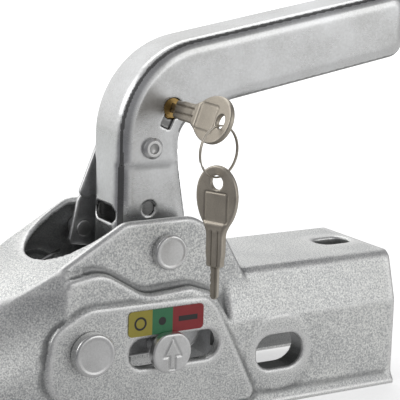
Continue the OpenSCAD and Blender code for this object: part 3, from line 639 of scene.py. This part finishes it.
# %% Pins and rivets
jaw_pin = rounded([[0, -42.75], [7.4, -42.75, 1.5], [8.4, -43, 1], [10, -43, 1.3], [10, -37.6, 0.4],
                   [6, -37.6], [6, 37.6], [8, 37.6, 0.3], [8, 40.5, 1.0], [0, 40.5]], 5)
add_piece("turned_jaw_pin", *turned(jaw_pin, *JAW_PIN, 96), "coupler", ["jaw_pin"], "zinc_pins",
          "pin_zinc")
handle_pin = rounded([[0, -34.75], [6.0, -34.75, 1.2], [6.9, -35, 0.8], [8.25, -35, 1.2],
                      [8.25, -31.1, 0.4], [5, -31.1], [5, 31.1], [7, 31.1, 0.3], [7, 34, 1.0],
                      [0, 34]], 5)
add_piece("turned_handle_pin", *turned(handle_pin, *HANDLE_PIN, 80), "coupler", ["handle_pin"],
          "zinc_pins", "pin_zinc")
rivet = rounded([[0, -17.0], [2.1, -17.0], [2.5, -17.5, 0.2], [3.7, -17.5, 0.3], [5, -16.6, 0.5],
                 [5, -15, 0.2], [3, -15], [3, 15.02],
                 [5, 15.02, 0.2], [5, 15.48, 0.2], [3, 15.5], [3, 22.12], [5.8, 22.12, 0.3],
                 [5.8, 24.1, 0.9], [0, 24.1]], 5)
add_piece("latch_rivet_formed", *turned(rivet, *RIVET, 56), "handle_unit", ["latch_rivet"],
          "zinc_pins", "pin_zinc")


def together(*shapes):
    """Several closed shapes as the points and faces of one piece."""
    points, faces, start = [], [], 0
    for p, f in shapes:
        points.append(p)
        faces += [[k + start for k in face] for face in f]
        start += len(p)
    return np.concatenate(points), faces


keeper_rivet = rounded([[0, 18.5], [3.8, 18.5, 0.4], [3.8, 19.15, 0.1], [3, 19.15], [3, 31.02],
                        [4.5, 31.02, 0.3], [4.5, 32.3, 0.6], [2.4, 33, 2], [0, 33]], 5)
add_piece("keeper_rivets_formed", *together(*(turned(keeper_rivet, *spot, 40)
          for spot in KEEPER_SPOTS)), "coupler", ["keeper_rivets"], "zinc_pins", "pin_zinc")

# %% [markdown]
# ## Springs and the split ring
# All three springs and the ring are wire. The main spring's end turns lie close, as in a ground
# compression spring. The split ring is two turns of one wire, side by side, which step across each
# other once.

# %% Springs and ring
def main_place(t):
    """Even travel in the middle, slow at both ends: the travel's rate is 0.35 there and 1 between."""
    rate = 0.62 + 0.38 * ramp(np.minimum(t, 1 - t) / 0.16)
    way = np.cumsum(rate)
    return 66.7 + (way - way[0]) / (way[-1] - way[0]) * 48.6


t = np.linspace(0, 1, 257)
a = 16 * math.pi * t
coil = np.stack([main_place(t), 8 * np.cos(a), ROD_HEIGHT + 8 * np.sin(a)], 1)
spring_piece = add_piece("wound_main_spring", *wire(coil, 1.5), "coupler", ["main_spring"],
                         "spring_steel", "spring_dark")

t = np.linspace(0, 1, 81)
a = np.radians(180 + 900 * (1 - t))
coil = np.stack([45 + 11.4 * np.cos(a), 30.4 + (24.2 - 30.4) * t, 13.5 + 11.4 * np.sin(a)], 1)
leg = [[x, 24.2, z] for x, z in ((34, 18), (34.8, 24), (37, 30), (42, 36), (50, 41), (60, 45))]
add_piece("wound_jaw_spring", *wire(np.concatenate([coil, leg]), 1.0), "coupler", ["jaw_spring"],
          "spring_steel", "spring_dark")

t = np.linspace(0, 1, 80)
a = np.radians(160 - 430 * t)
coil = np.stack([86.7 + 4.3 * np.cos(a), 19.0 + 2.2 * t, 99.4 + 4.3 * np.sin(a)], 1)
low_leg = [[82.5, 19, 89], [82.1, 19, 93], [82.0, 19, 97]]
high_leg = [[92, 21.2, 103.6], [99, 21.2, 103.2], [106, 21.2, 102.5]]
add_piece("wound_catch_spring", *wire(np.concatenate([low_leg, coil, high_leg]), 0.6, 10), "catch",
          ["catch_spring"], "spring_steel", "spring_dark")

RING_TURN = math.radians(13)
RING_MID = np.array([96.571, -56.9, 104.3765])
KEY_HOLE = 53.4  # from the tip of a key to its hole
t = np.linspace(0, 1, 193)
a = math.radians(-150) + 4 * math.pi * t * 0.985
step = (ramp((t - 0.44) / 0.12) - 0.5) * 0.74
flat = np.stack([11.5 * np.cos(a), step, 11.5 * np.sin(a)], 1)
c, s = math.cos(RING_TURN), math.sin(RING_TURN)
ring_path = flat @ np.array([[c, s, 0], [-s, c, 0], [0, 0, 1]]) + RING_MID
add_piece("split_ring", *wire(ring_path, 0.38, 12), "ring", ["key_ring"], "key_nickel", "key_nickel")

# %% [markdown]
# ## Keys
# A key is stamped and plated: an egg-shaped bow with a thin frame line cut into each face, a
# thick neck with two long grooves, and a thin blade with a groove and cuts. It is a small field
# of its own, built lying along Y with its tip at the origin, and then turned into place twice.

# %% Keys
def key_field(X, Y, Z):
    a = np.arange(64) * math.pi / 32
    egg = np.stack([-45.8 + 15.2 * np.cos(a), 10.9 * np.sin(a) * (1 - 0.10 * np.cos(a))], 1)
    y2, z2 = Y[0], Z[0]
    bow = outline(egg, y2, z2)
    field = both(bow[None], np.abs(X) - 1.25, 0.7)
    panel = rounded([[-49, -6, 1], [-35.5, -6, 1], [-35.5, 6, 1], [-49, 6, 1]])
    frame_line = np.abs(outline(panel, y2, z2))
    field = less(field, np.maximum(frame_line[None] - 0.42, 0.95 - np.abs(X)), 0.15)
    wide = 4.5 + 0.9 * ramp((-29 - Y) / 5) - 0.5 * ramp((Y + 21) / 3)
    thick = 2.0 - 0.35 * ramp((-29.5 - Y) / 4)
    neck = both(both(np.abs(Z) - wide, np.abs(X) - thick, 1.0), np.abs(Y + 25) - 10, 0.8)
    field = either(field, neck, 1.6)
    for z in (-1.4, 2.0):
        lane = np.maximum(np.abs(Z - z) - 0.35, np.abs(Y + 23.5) - 8.0)
        field = less(field, np.maximum(lane, 1.5 - np.abs(X)), 0.2)
    tip = 2.1 - np.maximum(0, Y + 1.3) * 1.1
    blade = both(both(np.abs(Z) - tip, np.abs(X) - 0.9, 0.25), np.abs(Y + 9) - 9, 0.2)
    groove = np.maximum(np.hypot(X - 1.05, (Z - 0.5) * 0.9) - 0.45, np.abs(Y + 9) - 8.6)
    other = np.maximum(np.hypot(X + 1.05, (Z + 0.6) * 0.9) - 0.45, np.abs(Y + 9) - 8.6)
    groove = np.minimum(groove, other)
    blade = less(blade, groove, 0.1)
    for i in range(5):
        blade = less(blade, np.hypot(Y + 2.4 + 2.5 * i, Z + 2.5 + 0.25 * (i % 2)) - 0.9, 0.1)
    field = either(field, blade, 0.3)
    return less(field, np.hypot(Y + KEY_HOLE, Z) - 3.3, 0.5)


xs = ruler((-2.7, 2.7, 0.3))
ys = ruler((-62, -34, 0.4), (-34, 0.8, 0.36))
zs = ruler((-11.9, -5, 0.45), (-5, 5, 0.34), (5, 11.9, 0.45))
key_points, key_faces = skin(key_field(*space(xs, ys, zs)), xs, ys, zs)
c, s = math.cos(LOCK_TURN), math.sin(LOCK_TURN)
first = key_points @ np.array([[c, 0, -s], [0, 1, 0], [s, 0, c]]) + [LOCK[0], -3.5, LOCK[1]]
add_piece("key_in_lock", first, key_faces, "key", ["key_inserted"], "key_nickel", "key_nickel")
hung = (key_points + [0, KEY_HOLE, 0]) @ np.array([[1, 0, 0], [0, 0, -1], [0, 1, 0]])
a = math.radians(203)
hung = hung @ np.array([[math.cos(a), math.sin(a), 0], [-math.sin(a), math.cos(a), 0], [0, 0, 1]])
spare_hole = RING_MID - [0, 0, 11.5 + 3.3 - 0.75 - 0.25]
add_piece("key_on_ring", hung + spare_hole, key_faces, "spare_key", ["key_spare"],
          "key_nickel", "key_nickel")

# %% [markdown]
# ## Flat plates, slide and jaw
# The catch and the keeper are blanked from sheet, so their edges are slightly rounded and bright.
# The slide is a pressed bridge between two cheeks, and the jaw is a casting with soft edges. Each
# is an outline in X and Z, carried across Y, with what passes through it cut away.

# %% Plates
def plate(corners, middle, half, edge, step, ys):
    """An outline carried across Y for half a thickness each way from its middle, with rounded
    edges. Gives the field, the grid's marks and the grid."""
    shape = rounded(corners)
    (x0, z0), (x1, z1) = shape.min(0) - 1.6 * step, shape.max(0) + 1.6 * step
    marks = ruler((x0, x1, step)), ys, ruler((z0, z1, step))
    X, Y, Z = space(*marks)
    field = both(outline(shape, X[:, 0], Z[:, 0])[:, None], np.abs(Y - middle) - half, edge)
    return field, marks, (X, Y, Z)


field, marks, (X, Y, Z) = plate(
    [[86, 92, 5], [93, 92.5, 8], [113, 101, 3], [115, 107, 3], [92, 107, 8], [79, 106, 6],
     [74, 95, 8], [65.5, 74, 3], [69, 70.8, 2], [75, 73, 2], [80, 88, 8]],
    16.85, 1.25, 0.5, 0.5, ruler((14.8, 27.6, 0.5)))
lean = math.radians(15)
u = (X - 108) * math.cos(lean) + (Z - 103.5) * math.sin(lean)
v = -(X - 108) * math.sin(lean) + (Z - 103.5) * math.cos(lean)
thumb_tab = both(both(np.abs(u - 3) - 3, np.abs(v - 1.25) - 1.25, 0.6), np.abs(Y - 21.1) - 5.5, 1.5)
field = less(either(field, thumb_tab, 1.0), bore(X, Z, RIVET, 3.1), 0.3)
add_piece("blanked_catch", *skin(field, *marks), "catch", ["safety_catch"], "zinc_handle",
          "inner_zinc")

field, marks, (X, Y, Z) = plate(
    [[62, 49, 2], [80, 46, 3], [95, 45.5, 4], [107, 52, 6], [105, 64, 8], [84, 80, 4],
     [75.4, 80.5, 3], [67, 70.5, 5]], 20.45, 1.25, 0.45, 0.6, ruler((18.4, 27.8, 0.5)))
for spot in KEEPER_SPOTS:
    field = either(field, both(bore(X, Z, spot, 5), np.abs(Y - 23.1) - 3.88, 0.3), 0.5)
for spot, radius in zip((*KEEPER_SPOTS, HANDLE_PIN), (3.1, 3.1, 5.1)):
    field = less(field, bore(X, Z, spot, radius), 0.2)
add_piece("blanked_keeper", *skin(field, *marks), "coupler", ["keeper"], "inner_steel",
          "inner_zinc")

# %% Slide and jaw
FORK_TOP = HANDLE_PIN[1] - 8.5 - 1
field, marks, (X, Y, Z) = plate(
    [[61, 4.5, 3], [109, 4.5, 8], [109, 27, 4], [100.3, 29, 4], [98.3, FORK_TOP, 4],
     [76.3, FORK_TOP, 4], [74.3, 29, 4], [61, 27, 3]], 0, 26, 1.2, 0.8,
    ruler((-27.1, -21.5, 0.6), (-21.5, 21.5, 1.6), (21.5, 27.1, 0.6)))
field = less(field, np.maximum(np.abs(Y) - 23, 65 - X), 0.5)
field = less(field, np.maximum(np.abs(Y) - 23, 26 - Z), 0.5)
fork = np.maximum(np.abs(X - DRIVE_PIN[0]) - 5.3, DRIVE_PIN[1] - Z)
field = less(field, np.minimum(fork, bore(X, Z, DRIVE_PIN, 5.3)), 0.6)
field = less(field, np.maximum(np.hypot(Y, Z - ROD_HEIGHT) - 3.1, X - 69))
field = less(field, np.maximum(bore(X, Z, INDICATOR, 3.6), Y))
add_piece("pressed_slide", *skin(field, *marks), "slide_unit", ["slide"], "inner_steel",
          "inner_zinc")

xs, ys, zs = ruler((9, 58.6, 0.9)), ruler((-23.3, 23.3, 0.9)), ruler((-24, 27, 0.9))
X, Y, Z = space(xs, ys, zs)
jaw = outline(rounded([[11, -19, 2], [27, -23, 5], [44, -8, 8], [56.5, 9, 6], [50, 24, 10],
                       [38, 23, 6], [11, 6, 2]]), X[:, 0], Z[:, 0])[:, None]
jaw = both(jaw, np.abs(Y) - 22, 2.0)
jaw = either(jaw, both(bore(X, Z, JAW_PIN, 11.5), np.abs(Y) - 22, 0.8), 2.0)
jaw = less(jaw, np.sqrt(X ** 2 + Y ** 2 + Z ** 2) - SEAT_R, 0.8)
jaw = less(jaw, bore(X, Z, JAW_PIN, 6.1), 0.4)
add_piece("cast_jaw", *skin(jaw, xs, ys, zs), "jaw", ["clamp_jaw"], "seat_iron", "cast_grey")

# %% [markdown]
# ## Indicator
# The indicator is a button with two flats and an arrow pressed into its face. The arrow is a line
# 0.7 mm wide along an outline, sunk 0.35 mm, so it catches shade as the real one does.

# %% Indicator
xs, zs = ruler((73.8, 95.4, 0.33)), ruler((-1.4, 20.2, 0.33))
ys = ruler((-43.4, -36.4, 0.28), (-36.4, -20.2, 0.8))
X, Y, Z = space(xs, ys, zs)
u, v = X - INDICATOR[0], Z - INDICATOR[1]
head = both(both(np.hypot(u, v) - 10, np.abs(v) - 9.2, 1.0), np.abs(Y + 40.15) - 2.35, 1.0)
arrow = outline(np.array([[-1.5, -7.6], [1.5, -7.6], [1.5, -1.5], [4.6, -1.5], [0, 7.2],
                          [-4.6, -1.5], [-1.5, -1.5]]), u[:, 0], v[:, 0])[:, None]
head = less(head, np.maximum(np.abs(arrow) - 0.42, Y + 42.1), 0.15)
stem = np.minimum(both(np.hypot(u, v) - 5, np.abs(Y + 31.9) - 5.9, 0.3),
                  np.maximum(np.hypot(u, v) - 3.5, np.abs(Y + 24.5) - 3.5))
add_piece("indicator_button", *skin(np.minimum(head, stem), xs, ys, zs), "slide_unit",
          ["indicator"], "zinc_pins", "pin_zinc")
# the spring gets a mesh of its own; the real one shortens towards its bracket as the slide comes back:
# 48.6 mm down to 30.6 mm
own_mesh(spring_piece)

# %% [markdown]
# ## Label
# The label is a printed film with three colour fields. A material can carry that: the X of a
# point, in metres, is compared with the two borders. Plain marks stand where words would be, a
# ring, a dot and a bar, each a distance compared with a size. Rubbed patches let some of the
# print go dull.

# %% Label material
def label_material():
    m = bpy.data.materials.new("label_film")
    m.use_nodes = True
    t = m.node_tree
    shader = t.nodes["Principled BSDF"]
    place = t.nodes.new("ShaderNodeTexCoord")
    split = t.nodes.new("ShaderNodeSeparateXYZ")
    t.links.new(place.outputs["Object"], split.inputs[0])
    x, z = split.outputs[0], split.outputs[2]

    def past(value, edge, soft=0.0001):
        return math_node(t, "MULTIPLY", math_node(t, "SUBTRACT", value, edge), 1 / soft, True)

    def away(mid_x, mid_z):
        dx, dz = math_node(t, "SUBTRACT", x, mid_x), math_node(t, "SUBTRACT", z, mid_z)
        squares = math_node(t, "MULTIPLY", dx, dx), math_node(t, "MULTIPLY", dz, dz)
        return math_node(t, "SQRT", math_node(t, "ADD", *squares))

    colour = mix_colour(t, past(x, 0.0761), (0.46, 0.39, 0.06, 1), (0.05, 0.24, 0.11, 1))
    colour = mix_colour(t, past(x, 0.0868), colour, (0.36, 0.03, 0.035, 1))
    ring = math_node(t, "ABSOLUTE", math_node(t, "SUBTRACT", away(0.0700, 0.02385), 0.0027))
    mark = math_node(t, "SUBTRACT", 1.0, past(ring, 0.00045), True)
    dot = math_node(t, "SUBTRACT", 1.0, past(away(0.0814, 0.02385), 0.0019), True)
    across = math_node(t, "ABSOLUTE", math_node(t, "SUBTRACT", x, 0.0950))
    upright = math_node(t, "ABSOLUTE", math_node(t, "SUBTRACT", z, 0.02385))
    bar = math_node(t, "MULTIPLY", math_node(t, "SUBTRACT", 1.0, past(across, 0.0050), True),
                    math_node(t, "SUBTRACT", 1.0, past(upright, 0.0012), True))
    mark = math_node(t, "MAXIMUM", math_node(t, "MAXIMUM", mark, dot), bar)
    colour = mix_colour(t, mark, colour, (0.03, 0.03, 0.03, 1))
    rub = place_group(t, GRAIN, Light=(1, 1, 1, 1), Dark=(0.78, 0.78, 0.76, 1), Cloud_Scale=240.0,
                      Grain_Scale=2500.0, Grain=0.25)
    t.links.new(mix_colour(t, 1.0, colour, rub["Color"], "MULTIPLY"), shader.inputs["Base Color"])
    gloss = math_node(t, "MULTIPLY_ADD", rub["Cloud"], -0.2)
    gloss.node.inputs[2].default_value = 0.5
    t.links.new(gloss, shader.inputs["Roughness"])
    node = t.nodes.new("ShaderNodeBump")
    node.inputs["Strength"].default_value = 0.05
    node.inputs["Distance"].default_value = 0.0002
    t.links.new(rub["Height"], node.inputs["Height"])
    t.links.new(node.outputs[0], shader.inputs["Normal"])
    return m


MATERIALS["label_film"] = label_material()

# %% [markdown]
# ## Pieces kept as the CAD made them
# Small inner parts already have their true shape. They keep it, and only their finish changes:
# the first material slot of each takes one of the metals above.

# %% Finishes on CAD pieces
FINISHES = {
    "cast_grey": ["ball_cup"],
    "inner_zinc": ["jaw_spacers", "handle_spacers", "drive_pin", "slide_rod", "spring_bracket",
                   "lock_sleeve", "lock_bolt"],
    "lock_brass": ["lock_barrel", "lock_plug", "lock_wafers"],
    "spring_dark": ["lock_clip"],
    "label_film": ["wear_label"],
}
for finish, names in FINISHES.items():
    for name in names:
        for k in range(len(cad[name].data.materials)):
            cad[name].data.materials[k] = MATERIALS[finish]
print("CAD pieces with a new finish:", sum(len(v) for v in FINISHES.values()))

# %% [markdown]
# ## Studio
# A pale floor and backdrop, one soft lamp at the back on the left, a long one above and behind,
# and a weak one in front on the right. Bright metal shows what stands round it, so the room is
# pale behind the object and dark in front, which draws the dark lines along the bends. The camera
# looks from the left-hand side, a little from the front and above, through a long lens.

# %% Camera
def camera_axes(azimuth, elevation, roll):
    """Right, up and backward directions of a camera, from its turn, its height and its roll."""
    a, e, r = (math.radians(v) for v in (azimuth, elevation, roll))
    back = np.array([math.sin(a) * math.cos(e), -math.cos(a) * math.cos(e), math.sin(e)])
    right = np.array([math.cos(a), math.sin(a), 0])
    up = np.cross(back, right)
    return (math.cos(r) * right + math.sin(r) * up, math.cos(r) * up - math.sin(r) * right, back)


right, up, back = camera_axes(-31.6, 12.1, 1.8)
eye = bpy.data.cameras.new("eye")
eye.lens, eye.sensor_width, eye.clip_end = 144, 36, 50
camera = bpy.data.objects.new("eye", eye)
bpy.context.scene.collection.objects.link(camera)
turn = Matrix([[right[k], up[k], back[k]] for k in range(3)])
camera.matrix_world = Matrix.Translation((-0.27205, -0.64154, 0.23055)) @ turn.to_4x4()
bpy.context.scene.camera = camera


# %% Floor, world and lamps
TABLE_EDGE = 0.15   # how far behind the middle, in metres, the table starts to look pale to metal
FLOOR_LIFT = 0.55   # light that the floor gives of itself to the camera, so that it reads as white
FLOOR_HEIGHT = LOW_EDGE * MM - 0.0003


def floor_piece():
    """A flat grid 4 m across. The camera sees it white with a soft shadow. Metal sees it bright
    behind the object, grey in front on the right and dark in front on the left, like a table
    with dark room on that side."""
    u = np.linspace(-2, 2, 9)
    X, Y = np.meshgrid(u, u, indexing="ij")
    points = np.stack([X, Y, np.full_like(X, FLOOR_HEIGHT)], -1).reshape(-1, 3)
    r, c = np.arange(8)[:, None], np.arange(8)[None, :]
    faces = np.stack([r * 9 + c, r * 9 + 9 + c, r * 9 + 10 + c, r * 9 + 1 + c], -1).reshape(-1, 4)
    mesh = bpy.data.meshes.new("studio_floor")
    mesh.from_pydata(points.tolist(), [], faces.tolist())
    mesh.update()
    floor = bpy.data.objects.new("studio_floor", mesh)
    bpy.context.scene.collection.objects.link(floor)
    m = bpy.data.materials.new("pale_floor")
    m.use_nodes = True
    t = m.node_tree
    shader = t.nodes["Principled BSDF"]
    shader.inputs["Roughness"].default_value = 0.9
    path = t.nodes.new("ShaderNodeLightPath")
    mirror = math_node(t, "MAXIMUM", path.outputs["Is Glossy Ray"], path.outputs["Is Transmission Ray"])
    place = t.nodes.new("ShaderNodeTexCoord")
    split = t.nodes.new("ShaderNodeSeparateXYZ")
    t.links.new(place.outputs["Object"], split.inputs[0])
    behind = math_node(t, "MULTIPLY", math_node(t, "SUBTRACT", split.outputs[1], TABLE_EDGE), 4.0, True)
    right_side = math_node(t, "MULTIPLY", math_node(t, "ADD", split.outputs[0], 0.15), 2.5, True)
    front = mix_colour(t, right_side, (0.12, 0.12, 0.13, 1), (0.60, 0.60, 0.60, 1))
    seen = mix_colour(t, behind, front, (0.66, 0.67, 0.66, 1))
    t.links.new(mix_colour(t, mirror, (0.82, 0.82, 0.82, 1), (0.05, 0.05, 0.05, 1)),
                shader.inputs["Base Color"])
    t.links.new(mix_colour(t, mirror, (1, 1, 1, 1), seen), shader.inputs["Emission Color"])
    span = t.nodes.new("ShaderNodeVectorMath")
    span.operation = "LENGTH"
    t.links.new(place.outputs["Object"], span.inputs[0])
    far = math_node(t, "MULTIPLY", math_node(t, "SUBTRACT", span.outputs["Value"], 0.3), 1.2, True)
    lift = math_node(t, "ADD", math_node(t, "MULTIPLY", far, 1 - FLOOR_LIFT), FLOOR_LIFT)
    lift = math_node(t, "MULTIPLY", path.outputs["Is Camera Ray"], lift)
    t.links.new(math_node(t, "ADD", lift, mirror), shader.inputs["Emission Strength"])
    mesh.materials.append(m)


def studio_world():
    """A white backdrop behind the object and to its left, a dark room in front and above, and a
    grey patch in front on the right. The camera sees plain white."""
    world = bpy.data.worlds.new("studio")
    world.use_nodes = True
    t = world.node_tree
    bg = t.nodes["Background"]
    path = t.nodes.new("ShaderNodeLightPath")
    place = t.nodes.new("ShaderNodeTexCoord")

    def toward(direction, start, span):
        node = t.nodes.new("ShaderNodeVectorMath")
        node.operation = "DOT_PRODUCT"
        t.links.new(place.outputs["Generated"], node.inputs[0])
        node.inputs[1].default_value = direction
        return math_node(t, "MULTIPLY", math_node(t, "SUBTRACT", node.outputs["Value"], start),
                         1 / span, True)

    room = mix_colour(t, toward((0.55, -0.82, 0.05), 0.62, 0.3), (0.27, 0.27, 0.28, 1),
                      (0.70, 0.70, 0.70, 1))
    room = mix_colour(t, toward((-0.25, 0.9, 0.3), 0.30, 0.45), room, (1, 1, 1, 1))
    t.links.new(mix_colour(t, path.outputs["Is Camera Ray"], room, (1, 1, 1, 1)),
                bg.inputs["Color"])
    bg.inputs["Strength"].default_value = 1.0
    bpy.context.scene.world = world


def lamp(name, place, target, size, power, colour=(1, 1, 1)):
    data = bpy.data.lights.new(name, "AREA")
    data.shape, data.size, data.size_y = "RECTANGLE", *size
    data.energy, data.color = power, colour
    lamp_object = bpy.data.objects.new(name, data)
    bpy.context.scene.collection.objects.link(lamp_object)
    ahead = Vector(target) - Vector(place)
    turned_to = ahead.to_track_quat("-Z", "Y").to_matrix().to_4x4()
    lamp_object.matrix_world = Matrix.Translation(place) @ turned_to


floor_piece()
studio_world()
MIDDLE = (0.09, 0, 0.07)
lamp("left_back", (-1.0, 0.45, 0.75), MIDDLE, (0.8, 0.8), 3.0)
lamp("top_back", (0.25, 0.6, 1.05), MIDDLE, (1.2, 0.4), 2.0)
lamp("right_front", (0.75, -1.1, 0.45), MIDDLE, (0.8, 0.8), 1.5)
bpy.context.scene.view_settings.view_transform = "Standard"
print("camera at", [round(v, 3) for v in camera.matrix_world.translation])
